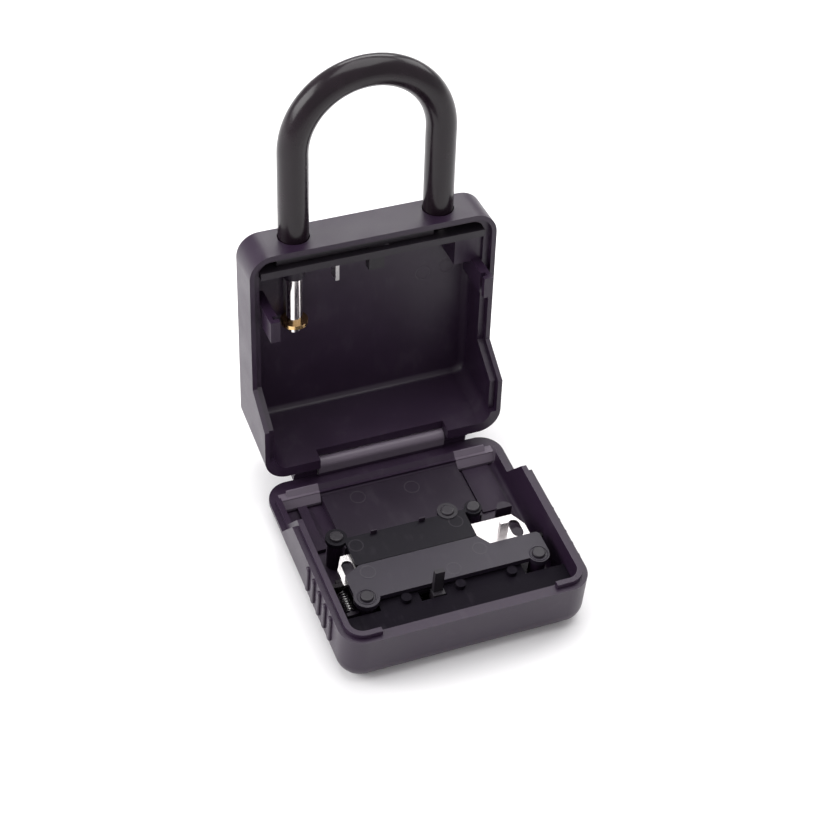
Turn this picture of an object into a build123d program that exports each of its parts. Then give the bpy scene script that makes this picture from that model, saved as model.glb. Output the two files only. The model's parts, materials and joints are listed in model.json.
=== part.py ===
from build123d import *
import math
import os

# Padlock key safe, lying open on its front cover. Millimetres, +Z up.
# The origin is the centre of the cover's flat outer face, which rests on the table.
# X runs along the hinge, and +Y points from the cover's front lip to its hinge.
# The housing is drawn closed on the cover and then turned open about the hinge.

# Case
CASE_WIDTH = 80.0
CASE_LENGTH = 77.0
CASE_DEPTH = 33.6
CORNER_RADIUS = 7.5
COVER_EDGE_ROUND = 6.5
BACK_EDGE_ROUND = 1.6
WALL = 3.5
COVER_FLOOR = 3.0
BACK_WALL = 2.4
INNER_ROUND = 2.2
BOTTOM_SLANT = 4.6

# Parting line, seen from the side: low at the hinge, high from the kink to the lip
RIM_LOW = 7.2
RIM_HIGH = 18.8
KINK_START = 19.5
KINK_END = 28.0
SEAM_GAP = 0.12
TONGUE_HEIGHT = 1.7
TONGUE_THICKNESS = 1.7
TONGUE_CLEARANCE = 0.3
TONGUE_HALF_GAP = 28.0

# Hinge, measured from the outer face of the hinge wall and from the table
HINGE_OUT = 1.1
HINGE_HEIGHT = 11.4
OPEN_ANGLE = 96.8
KNUCKLE_RADIUS = 2.2
KNUCKLE_HALF = 21.5
KNUCKLE_END = 29.6
KNUCKLE_GAP = 0.2
HEEL_INSET = 0.6
HEEL_ROUND = 0.8
HINGE_PIN_RADIUS = 1.0
PIN_CLEARANCE = 0.04
STOP_LUG_DEPTH = 5.0
STOP_LUG_THICKNESS = 2.6
LEDGE_LENGTH = 7.5
LEDGE_STEP_LENGTH = 2.7
LEDGE_STEP = 1.4
LEDGE_SIDE_GAP = 2.6
LEDGE_SLOPE_LENGTH = 3.1
LEDGE_BLOCK_START = 23.4
LEDGE_BLOCK_LENGTH = 1.8
LEDGE_BLOCK_DROP = 0.3

# Finger grips on the cover's sides
GRIP_COUNT = 5
GRIP_PITCH = 4.95
GRIP_FIRST = 43.9
GRIP_WIDTH = 2.2
GRIP_PROUD = 0.8
GRIP_ROUND = 0.5
GRIP_LENGTH = 10.6
GRIP_BELOW_RIM = 1.0

# Shackle
SHACKLE_HALF_SPAN = 23.4
SHACKLE_STRAIGHT = 29.0
SLEEVE_RADIUS = 4.76
CORE_RADIUS = 3.2
SLEEVE_BORE_CLEARANCE = 0.02
SHACKLE_FROM_BACK = 6.4
SHACKLE_HOLE_CLEARANCE = 0.25
LEG_PIN_RADIUS = 2.6
LEG_PIN_REACH = 31.4
LEG_TIP_RADIUS = 2.2
LEG_TIP_LENGTH = 3.8
TOE_REACH = 10.6
TOE_NOTCH_DEPTH = 2.0
RING_RADIUS = 4.3
RING_THICKNESS = 1.3

# Shackle lock inside the housing's top
SLIDE_THICKNESS = 2.0
SLIDE_GAP = 0.3
SLIDE_DEPTH = 8.3
SLIDE_TRAVEL = 2.4
SLIDE_CLEARANCE = 0.15
LOCK_PLATE_THICKNESS = 2.4
LOCK_PLATE_CLEARANCE = 0.28
LOCK_PLATE_DEPTH = 9.6
BUSH_RADIUS = 3.5
BUSH_SPIGOT_RADIUS = 3.1
BUSH_LENGTH = 6.0
THUMB_TAB_WIDTH = 5.0
THUMB_TAB_PLACE = -0.9
THUMB_TAB_DEPTH = 3.0
THUMB_TAB_LENGTH = 8.6
LEAF_PLACE = -11.2
LEAF_WIDTH = 1.2
LEAF_DEPTH = 4.0
LEAF_LENGTH = 7.3
CORNER_BOX_WIDTH = 9.0
CORNER_BOX_LENGTH = 10.5
CORNER_BOX_DEPTH = 9.2

# Catch hooks on the housing's side walls, which the latch plate holds
HOOK_WALL_GAP = 0.3
HOOK_THICKNESS = 3.0
HOOK_START = 51.2
HOOK_LENGTH = 7.3
HOOK_LIP = 1.7
HOOK_WEB = 1.4
HOOK_NOTCH_GAP = 0.2
HOOK_BASE_HEIGHT = 7.0

# Lock mechanism in the cover, distances along Y measured from the hinge wall
DIAL_COUNT = 4
DIAL_PITCH = 8.4
DIAL_WIDTH = 5.8
DIAL_RADIUS = 5.9
DIAL_RECESS = 0.9
DIAL_LINE = 46.0
DIAL_FACETS = 10
DIAL_GROOVE = 0.35
DIAL_BORE_CLEARANCE = 0.06
AXLE_RADIUS = 1.5
AXLE_CLEARANCE = 0.05
RING_HUB_RADIUS = 3.0
RING_FLANGE_RADIUS = 4.6
RING_FLANGE_THICKNESS = 0.8
RING_FLANGE_GAP = 0.15
RING_KEY_SIZE = 0.8
RING_SHIFT = 1.2
RING_TROUGH_GAP = 0.3
AXLE_BLOCK_THICKNESS = 2.4
AXLE_BLOCK_LENGTH = 6.4
WINDOW_MARGIN = 0.4
DETENT_GAP = 0.25
DETENT_THICKNESS = 0.4
DETENT_HEIGHT = 5.6
DETENT_FOOT = 3.6

# Latch plate and the black plates over it
LATCH_UNDERSIDE = 12.9
LATCH_THICKNESS = 1.2
LATCH_TRAVEL = 3.2
LATCH_BACK = 39.8
LATCH_FRONT = 50.9
LATCH_CORNER = 2.6
LATCH_EAR_FROM_WALL = 5.5
LATCH_NOSE_FROM_WALL = 1.9
LATCH_NOSE_LENGTH = 1.4
GUIDE_POST_FROM_WALL = 8.9
GUIDE_POST_RADIUS = 1.7
GUIDE_SLOT_CLEARANCE = 0.15
GUIDE_SLOT_MARGIN = 2.0
LATCH_TAB_FROM_WALL = 12.3
LATCH_TAB_WIDTH = 2.8
LATCH_TAB_HEIGHT = 5.4
LATCH_TAB_LINE = 46.8
LATCH_LUG_WIDTH = 6.0
LATCH_LUG_LINE = 35.4
PLATE_GAP = 0.1
PLATE_THICKNESS = 1.4
PLATE_LEFT = -25.5
PLATE_RIGHT = 14.2
PLATE_BACK = 34.6
PLATE_FRONT = 45.7
BAR_THICKNESS = 1.8
BAR_LEFT_FROM_WALL = 6.3
BAR_RIGHT_FROM_WALL = 3.5
BAR_BACK = 46.2
BAR_BACK_RIGHT = 50.2
BAR_STEP_X = 15.4
BAR_FRONT = 59.4
BAR_CHAMFER = 2.8
BAR_CORNER = 0.8
BAR_PIN_LINE = 58.5
BAR_LEFT_PIN_FROM_WALL = 9.8
BAR_RIGHT_PIN_FROM_WALL = 7.0
BAR_LOBE_RADII = (4.0, 3.4)
PLATE_LEFT_PIN_FROM_WALL = 9.0
PLATE_LEFT_PIN_LINE = 33.4
PLATE_LEFT_LOBE_RADIUS = 3.4
PLATE_RIGHT_PINS = ((9.1, 33.8, 3.2), (17.4, 34.6, 2.8))
RIVET_RADIUS = 1.4
RIVET_HEAD_RADIUS = 2.1
RIVET_HEAD_HEIGHT = 0.9
RIVET_CLEARANCE = 0.05
BOSS_RADIUS = 2.6

# Opener on the cover's outer face, joined to the latch plate
OPENER_WIDTH = 12.0
OPENER_LENGTH = 8.0
OPENER_START = 16.4
OPENER_RECESS = 0.5
OPENER_STRAP_THICKNESS = 1.2
OPENER_STRAP_GAP = 0.15
OPENER_SIDE_GAP = 0.3
OPENER_RIBS = 4
OPENER_RIB_DEPTH = 0.5

# Guard panel, ribs, posts and pegs on the cover's floor and deck
GUARD_FROM_WALL = 14.0
GUARD_BACK = 8.0
GUARD_FRONT = 30.8
GUARD_TOP = 5.8
GUARD_THICKNESS = 1.1
RIB_WIDTH = 1.2
SIDE_RIB_FROM_WALL = 6.5
SIDE_RIB_WIDTH = 3.0
SIDE_RIB_HEIGHT = 1.6
SIDE_PAD_MARGIN = 2.4
SIDE_PAD_HEIGHT = 0.6
FRONT_POST_LINE = 61.3
FRONT_POST_MIDDLE = 2.6
FRONT_POSTS_FROM_WALL = (21.5, 17.0)
FRONT_POST_RADIUS = 2.2
FRONT_PEG_RADIUS = 1.6
FRONT_PEG_TOP = 15.0
HALF_POST_FROM_WALL = 8.8
HALF_POST_LINE = 36.2
HALF_POST_RADIUS = 2.6
HALF_POST_TOP = 13.6

# Deck in front of the bar
DECK_TOP = 13.4
DECK_THICKNESS = 1.4
DECK_CLEARANCE = 0.15
DECK_BACK = 56.4
DECK_END_BACK = 62.8
DECK_END_FROM_WALL = 13.0
DECK_SLOT_MARGIN = 0.3

# Reset lever in front of the bar
LEVER_X = -4.7
LEVER_WIDTH = 3.1
LEVER_THICKNESS = 1.6
LEVER_TOP = 22.6
LEVER_FOOT_WIDTH = 3.9
LEVER_FOOT_LENGTH = 3.0
LEVER_FOOT_TOP = 13.8
LEVER_FOOT_BOTTOM = 6.0
LEVER_LINE = 59.8
LEVER_TRAVEL = 3.6
RAIL_WIDTH = 1.2
RAIL_HEIGHT = 7.0
RAIL_CLEARANCE = 0.15

# Latch spring
SPRING_FROM_WALL = 5.3
SPRING_WIRE = 0.45
SPRING_RADIUS = 1.45
SPRING_TURNS = 8
SPRING_LENGTH = 9.6
SPRING_END_BEND = 0.5
SPRING_TAB_REACH = 0.8
LEAST_WIRE_GAP = 0.4
PATH_SAMPLES = 900
SPRING_FRONT = 59.0
SPRING_HEIGHT = 9.4
SPRING_POST_RADIUS = 1.0
SPRING_SEAT = 1.2

OVER = 1.0

HINGE_Y = CASE_LENGTH / 2
AXIS_Y = HINGE_Y + HINGE_OUT
INNER_X = CASE_WIDTH / 2 - WALL
INNER_LIP_Y = -CASE_LENGTH / 2 + WALL
TOP_INNER_Y = INNER_LIP_Y
HINGE_AXIS = Axis((0, AXIS_Y, HINGE_HEIGHT), (1, 0, 0))
LATCH_TOP = LATCH_UNDERSIDE + LATCH_THICKNESS
PLATE_BOTTOM = LATCH_TOP + PLATE_GAP
PLATE_TOP = PLATE_BOTTOM + PLATE_THICKNESS
BAR_TOP = PLATE_BOTTOM + BAR_THICKNESS
DIAL_Z = DIAL_RECESS + DIAL_RADIUS
BACK_INNER = CASE_DEPTH - BACK_WALL
SHACKLE_DEPTH_PLACE = CASE_DEPTH - SHACKLE_FROM_BACK
HOOK_OUTER = INNER_X - HOOK_WALL_GAP
HOOK_INNER = HOOK_OUTER - HOOK_THICKNESS
LATCH_EAR_X = INNER_X - LATCH_EAR_FROM_WALL
LATCH_NOSE_X = INNER_X - LATCH_NOSE_FROM_WALL
GUIDE_POST_X = INNER_X - GUIDE_POST_FROM_WALL
LATCH_TAB_X = INNER_X - LATCH_TAB_FROM_WALL
BAR_LEFT = BAR_LEFT_FROM_WALL - INNER_X
BAR_RIGHT = INNER_X - BAR_RIGHT_FROM_WALL
BAR_PINS = (
    (BAR_LEFT_PIN_FROM_WALL - INNER_X, BAR_PIN_LINE, BAR_LOBE_RADII[0]),
    (INNER_X - BAR_RIGHT_PIN_FROM_WALL, BAR_PIN_LINE, BAR_LOBE_RADII[1]),
)
PLATE_PINS = (
    (PLATE_LEFT_PIN_FROM_WALL - INNER_X, PLATE_LEFT_PIN_LINE, PLATE_LEFT_LOBE_RADIUS),
    *PLATE_RIGHT_PINS,
)
GUARD_HALF_WIDTH = INNER_X - GUARD_FROM_WALL
SPRING_X = SPRING_FROM_WALL - INNER_X
FRONT_POSTS = (
    FRONT_POSTS_FROM_WALL[0] - INNER_X,
    FRONT_POST_MIDDLE,
    INNER_X - FRONT_POSTS_FROM_WALL[1],
)


def from_hinge(distance):
    """Y of a place that lies this far from the hinge wall's outer face."""
    return HINGE_Y - distance


def box(x0, x1, y0, y1, z0, z1):
    """A box between two corners."""
    corner = (min(x0, x1), min(y0, y1), min(z0, z1))
    size = Box(abs(x1 - x0), abs(y1 - y0), abs(z1 - z0), align=(Align.MIN, Align.MIN, Align.MIN))
    return Pos(*corner) * size


def post(x, y, z0, z1, radius):
    """An upright cylinder."""
    return Pos(x, y, z0) * Cylinder(radius, z1 - z0, align=(Align.CENTER, Align.CENTER, Align.MIN))


def rod_x(x0, x1, y, z, radius):
    """A cylinder along X."""
    rod = Cylinder(radius, abs(x1 - x0), align=(Align.CENTER, Align.CENTER, Align.MIN))
    return Pos(min(x0, x1), y, z) * Rot(0, 90, 0) * rod


def rod_y(x, y0, y1, z, radius):
    """A cylinder along Y."""
    rod = Cylinder(radius, abs(y1 - y0), align=(Align.CENTER, Align.CENTER, Align.MIN))
    return Pos(x, max(y0, y1), z) * Rot(90, 0, 0) * rod


def plate(points, z0, z1):
    """A flat plate with a straight-sided outline."""
    face = make_face(Polyline(*points, close=True))
    return Pos(0, 0, z0) * extrude(face, z1 - z0)


def side_profile(points, half_width):
    """A solid with a Y-Z outline, as wide as asked along X."""
    face = make_face(Polyline(*points, close=True))
    turned = Plane(origin=(0, 0, 0), x_dir=(0, 1, 0), z_dir=(1, 0, 0)) * face
    return extrude(turned, half_width, both=True)


def one(shape):
    """The single solid of a shape."""
    solids = shape.solids()
    if len(solids) != 1:
        raise ValueError(f"expected one solid, found {len(solids)}")
    return solids[0]


def rim_line(offset):
    """Points of the parting line, moved outwards from the cover by the offset."""
    slope = math.atan2(RIM_HIGH - RIM_LOW, KINK_END - KINK_START)
    shift = offset * math.tan(slope / 2)
    return (
        (HINGE_Y + CASE_WIDTH, RIM_LOW + offset),
        (from_hinge(KINK_START) + shift, RIM_LOW + offset),
        (from_hinge(KINK_END) + shift, RIM_HIGH + offset),
        (-HINGE_Y - CASE_WIDTH, RIM_HIGH + offset),
    )


def above_rim(offset):
    """All the space above the moved parting line."""
    line = rim_line(offset)
    top = CASE_DEPTH * 3
    points = (*line, (line[-1][0], top), (line[0][0], top))
    return side_profile(points, CASE_WIDTH)


def below_rim(offset):
    """All the space below the moved parting line."""
    line = rim_line(offset)
    points = (*line, (line[-1][0], -CASE_DEPTH), (line[0][0], -CASE_DEPTH))
    return side_profile(points, CASE_WIDTH)


def case_block(inset, z0, z1, slanted):
    """The case's rounded block, set in from its outer faces, with or without the slanted bottom."""
    radius = max(CORNER_RADIUS - inset, INNER_ROUND)
    width = CASE_WIDTH - 2 * inset
    if not slanted:
        outline = RectangleRounded(width, CASE_LENGTH - 2 * inset, radius)
        return Pos(0, 0, z0) * extrude(outline, z1 - z0)
    sections = []
    for z in (z0, z1):
        slant = BOTTOM_SLANT * (z - RIM_LOW) / (CASE_DEPTH - RIM_LOW)
        low_y = -HINGE_Y + inset
        high_y = HINGE_Y - inset - slant
        middle = (low_y + high_y) / 2
        outline = RectangleRounded(width, high_y - low_y, radius)
        sections.append(Pos(0, middle, z) * outline)
    return loft(sections, ruled=True)


def edge_loop(solid, z):
    """The edges of a solid that lie at one height."""
    return [edge for edge in solid.edges() if abs(edge.bounding_box().min.Z - z) < 0.01
            and abs(edge.bounding_box().max.Z - z) < 0.01]


def dial_centre(index):
    """X of a dial's middle."""
    return (index - (DIAL_COUNT - 1) / 2) * DIAL_PITCH


def dial_span():
    """Half the width that the row of dials takes."""
    return DIAL_PITCH * DIAL_COUNT / 2


def axle_block_near():
    """How far the axle blocks stand from the middle, with room for the rings to shift."""
    return dial_span() + RING_SHIFT + RING_TROUGH_GAP


def guide_slot_front():
    """How far from the hinge wall the latch plate's guide slots end."""
    return LATCH_FRONT - GUIDE_SLOT_MARGIN


def guide_post_line():
    """How far from the hinge wall the guide posts stand: at the slots' front end."""
    return guide_slot_front() - GUIDE_POST_RADIUS - GUIDE_SLOT_CLEARANCE


def tilt(shape):
    """Turn a piece of the closed housing open about the hinge."""
    return shape.rotate(HINGE_AXIS, -OPEN_ANGLE)


# Cover


def cover_shell():
    """The cover's tray with its rim, hinge ledge and edge rounding."""
    block = case_block(0, 0, RIM_HIGH + OVER, False)
    block = fillet(edge_loop(block, 0), COVER_EDGE_ROUND)
    block -= above_rim(0)
    cavity = case_block(WALL, COVER_FLOOR, CASE_DEPTH, False)
    cavity = fillet(edge_loop(cavity, COVER_FLOOR), INNER_ROUND)
    ledge_y = from_hinge(LEDGE_LENGTH)
    step_y = ledge_y + LEDGE_STEP_LENGTH
    cavity -= box(-CASE_WIDTH, CASE_WIDTH, ledge_y, HINGE_Y + OVER, 0, CASE_DEPTH * 2)
    half = INNER_X - LEDGE_SIDE_GAP
    slope = (
        (step_y, RIM_LOW - OVER),
        (step_y, RIM_LOW + LEDGE_STEP),
        (step_y - OVER / 2, RIM_LOW + LEDGE_STEP),
        (step_y - LEDGE_SLOPE_LENGTH, GUARD_TOP),
        (step_y - LEDGE_SLOPE_LENGTH, GUARD_TOP - GUARD_THICKNESS),
        (step_y, GUARD_TOP - GUARD_THICKNESS),
    )
    shell = block - cavity + side_profile(slope, half)
    block_y = ledge_y - LEDGE_BLOCK_LENGTH
    ramp = (
        (ledge_y + OVER, COVER_FLOOR - OVER),
        (ledge_y + OVER, RIM_LOW - LEDGE_BLOCK_DROP),
        (ledge_y, RIM_LOW - LEDGE_BLOCK_DROP),
        (block_y, COVER_FLOOR + SIDE_RIB_HEIGHT),
        (block_y, COVER_FLOOR - OVER),
    )
    reach = (INNER_X + OVER - LEDGE_BLOCK_START) / 2
    for side in (-1, 1):
        shell += Pos(side * (LEDGE_BLOCK_START + reach), 0, 0) * side_profile(ramp, reach)
    return shell


def cover_tongue():
    """The lip that stands up inside the rim along the sides and round the front corners."""
    outer = case_block(WALL - TONGUE_THICKNESS, RIM_LOW - OVER, CASE_DEPTH, False)
    inner = case_block(WALL, 0, CASE_DEPTH * 2, False)
    ring = outer - inner - above_rim(TONGUE_HEIGHT) - below_rim(-OVER)
    ledge_y = from_hinge(LEDGE_LENGTH)
    ring -= box(-CASE_WIDTH, CASE_WIDTH, ledge_y, CASE_LENGTH, 0, CASE_DEPTH)
    gap = box(-TONGUE_HALF_GAP, TONGUE_HALF_GAP, -CASE_LENGTH, 0, RIM_HIGH, CASE_DEPTH)
    return ring - gap


def cover_grips():
    """Upright rounded ridges on both side walls."""
    grips = []
    top = RIM_HIGH - GRIP_BELOW_RIM
    middle = top - GRIP_LENGTH / 2
    outline = Rot(0, 0, 90) * SlotOverall(GRIP_LENGTH, GRIP_WIDTH)
    for side in (-1, 1):
        face_x = side * (CASE_WIDTH / 2 - OVER)
        for index in range(GRIP_COUNT):
            y = from_hinge(GRIP_FIRST + index * GRIP_PITCH)
            wall = Plane(origin=(face_x, y, middle), x_dir=(0, 1, 0), z_dir=(side, 0, 0))
            grip = extrude(wall * outline, OVER + GRIP_PROUD)
            outer = max(grip.faces(), key=lambda face: side * face.center().X)
            grips.append(fillet(outer.edges(), GRIP_ROUND))
    return grips


def cover_knuckle():
    """The long middle knuckle, with the web that carries it and reaches the table as a heel."""
    half = KNUCKLE_HALF
    barrel = rod_x(-half, half, AXIS_Y, HINGE_HEIGHT, KNUCKLE_RADIUS)
    web = (
        (AXIS_Y - KNUCKLE_RADIUS, HINGE_HEIGHT),
        (AXIS_Y + KNUCKLE_RADIUS, HINGE_HEIGHT),
        (AXIS_Y + KNUCKLE_RADIUS, RIM_LOW),
        (HINGE_Y - HEEL_INSET, HEEL_ROUND),
        (HINGE_Y - HEEL_INSET - HEEL_ROUND, 0),
        (HINGE_Y - COVER_EDGE_ROUND, 0),
        (HINGE_Y - COVER_EDGE_ROUND, RIM_LOW - OVER),
        (AXIS_Y - KNUCKLE_RADIUS, RIM_LOW - OVER),
    )
    return barrel + side_profile(web, half)


def cover_windows():
    """Openings through the cover's floor for the dials and the opener."""
    cuts = []
    drop = DIAL_Z - COVER_FLOOR
    half_chord = math.sqrt(DIAL_RADIUS**2 - drop**2) + WINDOW_MARGIN
    y = from_hinge(DIAL_LINE)
    for index in range(DIAL_COUNT):
        x = dial_centre(index)
        half = DIAL_WIDTH / 2 + WINDOW_MARGIN
        cuts.append(box(x - half, x + half, y - half_chord, y + half_chord, -OVER, COVER_FLOOR + OVER))
    half = OPENER_WIDTH / 2 + OPENER_SIDE_GAP
    back = from_hinge(OPENER_START) + OPENER_SIDE_GAP
    front = from_hinge(OPENER_START + OPENER_LENGTH + LATCH_TRAVEL) - OPENER_SIDE_GAP
    cuts.append(box(-half, half, back, front, -OVER, COVER_FLOOR + OVER))
    return cuts


def axle_blocks():
    """Blocks that carry the dial axle at both ends."""
    blocks = []
    y = from_hinge(DIAL_LINE)
    half = AXLE_BLOCK_LENGTH / 2
    top = DIAL_Z + AXLE_RADIUS + AXLE_BLOCK_THICKNESS
    for side in (-1, 1):
        near = side * axle_block_near()
        far = near + side * AXLE_BLOCK_THICKNESS
        block = box(near, far, y - half, y + half, COVER_FLOOR, top)
        bore = rod_x(near - side * OVER, far + side * OVER, y, DIAL_Z, AXLE_RADIUS + AXLE_CLEARANCE)
        blocks.append(one(block - bore))
    return Compound(children=blocks)


def plate_posts():
    """The hollow posts that carry the bar's and the plate's rivets."""
    pieces = []
    for x, distance, _ in (*BAR_PINS, *PLATE_PINS):
        y = from_hinge(distance)
        hole = post(x, y, COVER_FLOOR, CASE_DEPTH, RIVET_RADIUS + RIVET_CLEARANCE)
        pieces.append(one(post(x, y, COVER_FLOOR, PLATE_BOTTOM, BOSS_RADIUS) - hole))
    return Compound(children=pieces)


def guide_posts():
    """The two shouldered posts in the latch plate's slots."""
    pieces = []
    y = from_hinge(guide_post_line())
    for side in (-1, 1):
        x = side * GUIDE_POST_X
        shoulder = post(x, y, COVER_FLOOR, LATCH_UNDERSIDE - PLATE_GAP, BOSS_RADIUS)
        pieces.append(one(shoulder + post(x, y, COVER_FLOOR, LATCH_TOP, GUIDE_POST_RADIUS)))
    return Compound(children=pieces)


def floor_posts():
    """The three posts that carry the front deck, and the half post behind the latch plate."""
    pieces = []
    for x in FRONT_POSTS:
        y = from_hinge(FRONT_POST_LINE)
        pieces.append(one(post(x, y, COVER_FLOOR, DECK_TOP - DECK_THICKNESS, FRONT_POST_RADIUS)))
    x = INNER_X - HALF_POST_FROM_WALL
    y = from_hinge(HALF_POST_LINE)
    radius = HALF_POST_RADIUS
    half_post = post(x, y, COVER_FLOOR, HALF_POST_TOP, radius)
    pieces.append(one(half_post - box(x - radius, x + radius, y, y - radius, COVER_FLOOR, HALF_POST_TOP)))
    return Compound(children=pieces)


def floor_ribs():
    """The low rib and pad at the sides, and the two ribs that carry the guard panel."""
    ledge = from_hinge(LEDGE_LENGTH)
    back = ledge - LEDGE_BLOCK_LENGTH
    front = from_hinge(GUARD_FRONT - BOSS_RADIUS)
    side = SIDE_RIB_FROM_WALL - INNER_X + SIDE_RIB_WIDTH / 2
    pieces = [box(side - SIDE_RIB_WIDTH, side, back, front, COVER_FLOOR, COVER_FLOOR + SIDE_RIB_HEIGHT)]
    wall_top = GUARD_TOP - GUARD_THICKNESS
    guard_front = from_hinge(GUARD_FRONT)
    half = RIB_WIDTH / 2
    for x in (-GUARD_HALF_WIDTH, GUARD_HALF_WIDTH):
        pieces.append(box(x - half, x + half, ledge, guard_front, COVER_FLOOR, wall_top))
    near = GUARD_HALF_WIDTH + SIDE_PAD_MARGIN
    far = INNER_X - SIDE_PAD_MARGIN
    pieces.append(box(near, far, back, front, COVER_FLOOR, COVER_FLOOR + SIDE_PAD_HEIGHT))
    return Compound(children=[one(piece) for piece in pieces])


def front_deck():
    """The deck between the bar and the front wall, with three pegs and the lever's slot."""
    low = DECK_TOP - DECK_THICKNESS
    block = case_block(WALL + DECK_CLEARANCE, low, DECK_TOP, False)
    half = INNER_X - DECK_END_FROM_WALL
    shape = block & box(-CASE_WIDTH, CASE_WIDTH, -CASE_LENGTH, from_hinge(DECK_END_BACK), low, DECK_TOP)
    shape += block & box(-half, half, -CASE_LENGTH, from_hinge(DECK_BACK), low, DECK_TOP)
    foot = LEVER_FOOT_WIDTH / 2 + DECK_SLOT_MARGIN
    front = from_hinge(LEVER_LINE + LEVER_FOOT_LENGTH) - DECK_SLOT_MARGIN
    back = from_hinge(LEVER_LINE) + DECK_SLOT_MARGIN
    shape -= box(LEVER_X - LEVER_TRAVEL - foot, LEVER_X + foot, front, back, low - OVER, DECK_TOP + OVER)
    for x in FRONT_POSTS:
        shape += post(x, from_hinge(FRONT_POST_LINE), low, FRONT_PEG_TOP, FRONT_PEG_RADIUS)
    return one(shape)


def lever_rail():
    """The rail that the reset lever's foot rides on."""
    y = from_hinge(LEVER_LINE + LEVER_FOOT_LENGTH / 2)
    start = LEVER_X - LEVER_FOOT_WIDTH - LEVER_TRAVEL
    end = LEVER_X + LEVER_FOOT_WIDTH / 2
    half = RAIL_WIDTH / 2
    return one(box(start, end, y - half, y + half, COVER_FLOOR, COVER_FLOOR + RAIL_HEIGHT))


def spring_seat():
    """The block with a peg that the latch spring pushes against."""
    front = from_hinge(SPRING_FRONT)
    half = SPRING_RADIUS + SPRING_WIRE
    block = box(SPRING_X - half, SPRING_X + half, front - SPRING_SEAT, front,
                COVER_FLOOR, SPRING_HEIGHT + half)
    peg = rod_y(SPRING_X, front - SPRING_SEAT, front + SPRING_SEAT, SPRING_HEIGHT, SPRING_POST_RADIUS)
    return one(block + peg)


def front_cover():
    cover = cover_shell() + cover_tongue()
    for grip in cover_grips():
        cover += grip
    cover += cover_knuckle()
    bore = HINGE_PIN_RADIUS + PIN_CLEARANCE
    cover -= rod_x(-CASE_WIDTH, CASE_WIDTH, AXIS_Y, HINGE_HEIGHT, bore)
    for window in cover_windows():
        cover -= window
    trough = RING_FLANGE_RADIUS + RING_TROUGH_GAP
    end = axle_block_near()
    cover -= rod_x(-end, end, from_hinge(DIAL_LINE), DIAL_Z, trough)
    return one(cover)


def guard_panel():
    """The panel that covers the opener's strap."""
    back = from_hinge(GUARD_BACK)
    front = from_hinge(GUARD_FRONT)
    half = GUARD_HALF_WIDTH + RIB_WIDTH / 2
    return one(box(-half, half, front, back, GUARD_TOP - GUARD_THICKNESS, GUARD_TOP))


def riveted_plate(outline, pins, z0, z1):
    """A plate with round lobes about its rivets, and the rivets' holes."""
    shape = plate(outline, z0, z1)
    for x, distance, radius in pins:
        shape += post(x, from_hinge(distance), z0, z1, radius)
    for x, distance, _ in pins:
        hole = RIVET_RADIUS + RIVET_CLEARANCE
        shape -= post(x, from_hinge(distance), z0 - OVER, z1 + OVER, hole)
    return one(shape)


def mechanism_plate():
    """The black plate over the dials, with arms to its three rivets."""
    back, front = from_hinge(PLATE_BACK), from_hinge(PLATE_FRONT)
    arm = from_hinge(PLATE_PINS[2][1] + BOSS_RADIUS / 2)
    outline = (
        (PLATE_LEFT, front),
        (PLATE_RIGHT, front),
        (PLATE_RIGHT, arm),
        (PLATE_PINS[2][0], arm),
        (PLATE_PINS[2][0], back),
        (PLATE_LEFT, back),
    )
    return riveted_plate(outline, PLATE_PINS, PLATE_BOTTOM, PLATE_TOP)


def retainer_bar():
    """The front bar, with a round lobe at each end and a step along its back edge."""
    outline = (
        (BAR_LEFT, from_hinge(BAR_PINS[0][1])),
        (BAR_LEFT + BAR_CHAMFER, from_hinge(BAR_FRONT)),
        (BAR_RIGHT - BAR_CHAMFER, from_hinge(BAR_FRONT)),
        (BAR_RIGHT, from_hinge(BAR_PINS[1][1])),
        (BAR_RIGHT, from_hinge(BAR_BACK_RIGHT + BAR_CORNER)),
        (BAR_RIGHT - BAR_CORNER, from_hinge(BAR_BACK_RIGHT)),
        (BAR_STEP_X + BAR_CHAMFER / 2, from_hinge(BAR_BACK_RIGHT)),
        (BAR_STEP_X - BAR_CHAMFER / 2, from_hinge(BAR_BACK)),
        (BAR_LEFT + BAR_CHAMFER * 2, from_hinge(BAR_BACK)),
        (BAR_LEFT, from_hinge(BAR_BACK + BAR_CHAMFER)),
    )
    return riveted_plate(outline, BAR_PINS, PLATE_BOTTOM, BAR_TOP)


def rivets(pins, top):
    """Round-headed rivets, one solid each."""
    pieces = []
    for x, distance, _ in pins:
        y = from_hinge(distance)
        shank = post(x, y, COVER_FLOOR, top, RIVET_RADIUS)
        head = post(x, y, top, top + RIVET_HEAD_HEIGHT, RIVET_HEAD_RADIUS)
        head = fillet(edge_loop(head, top + RIVET_HEAD_HEIGHT), RIVET_HEAD_HEIGHT / 2)
        pieces.append(one(shank + head))
    return Compound(children=pieces)


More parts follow.
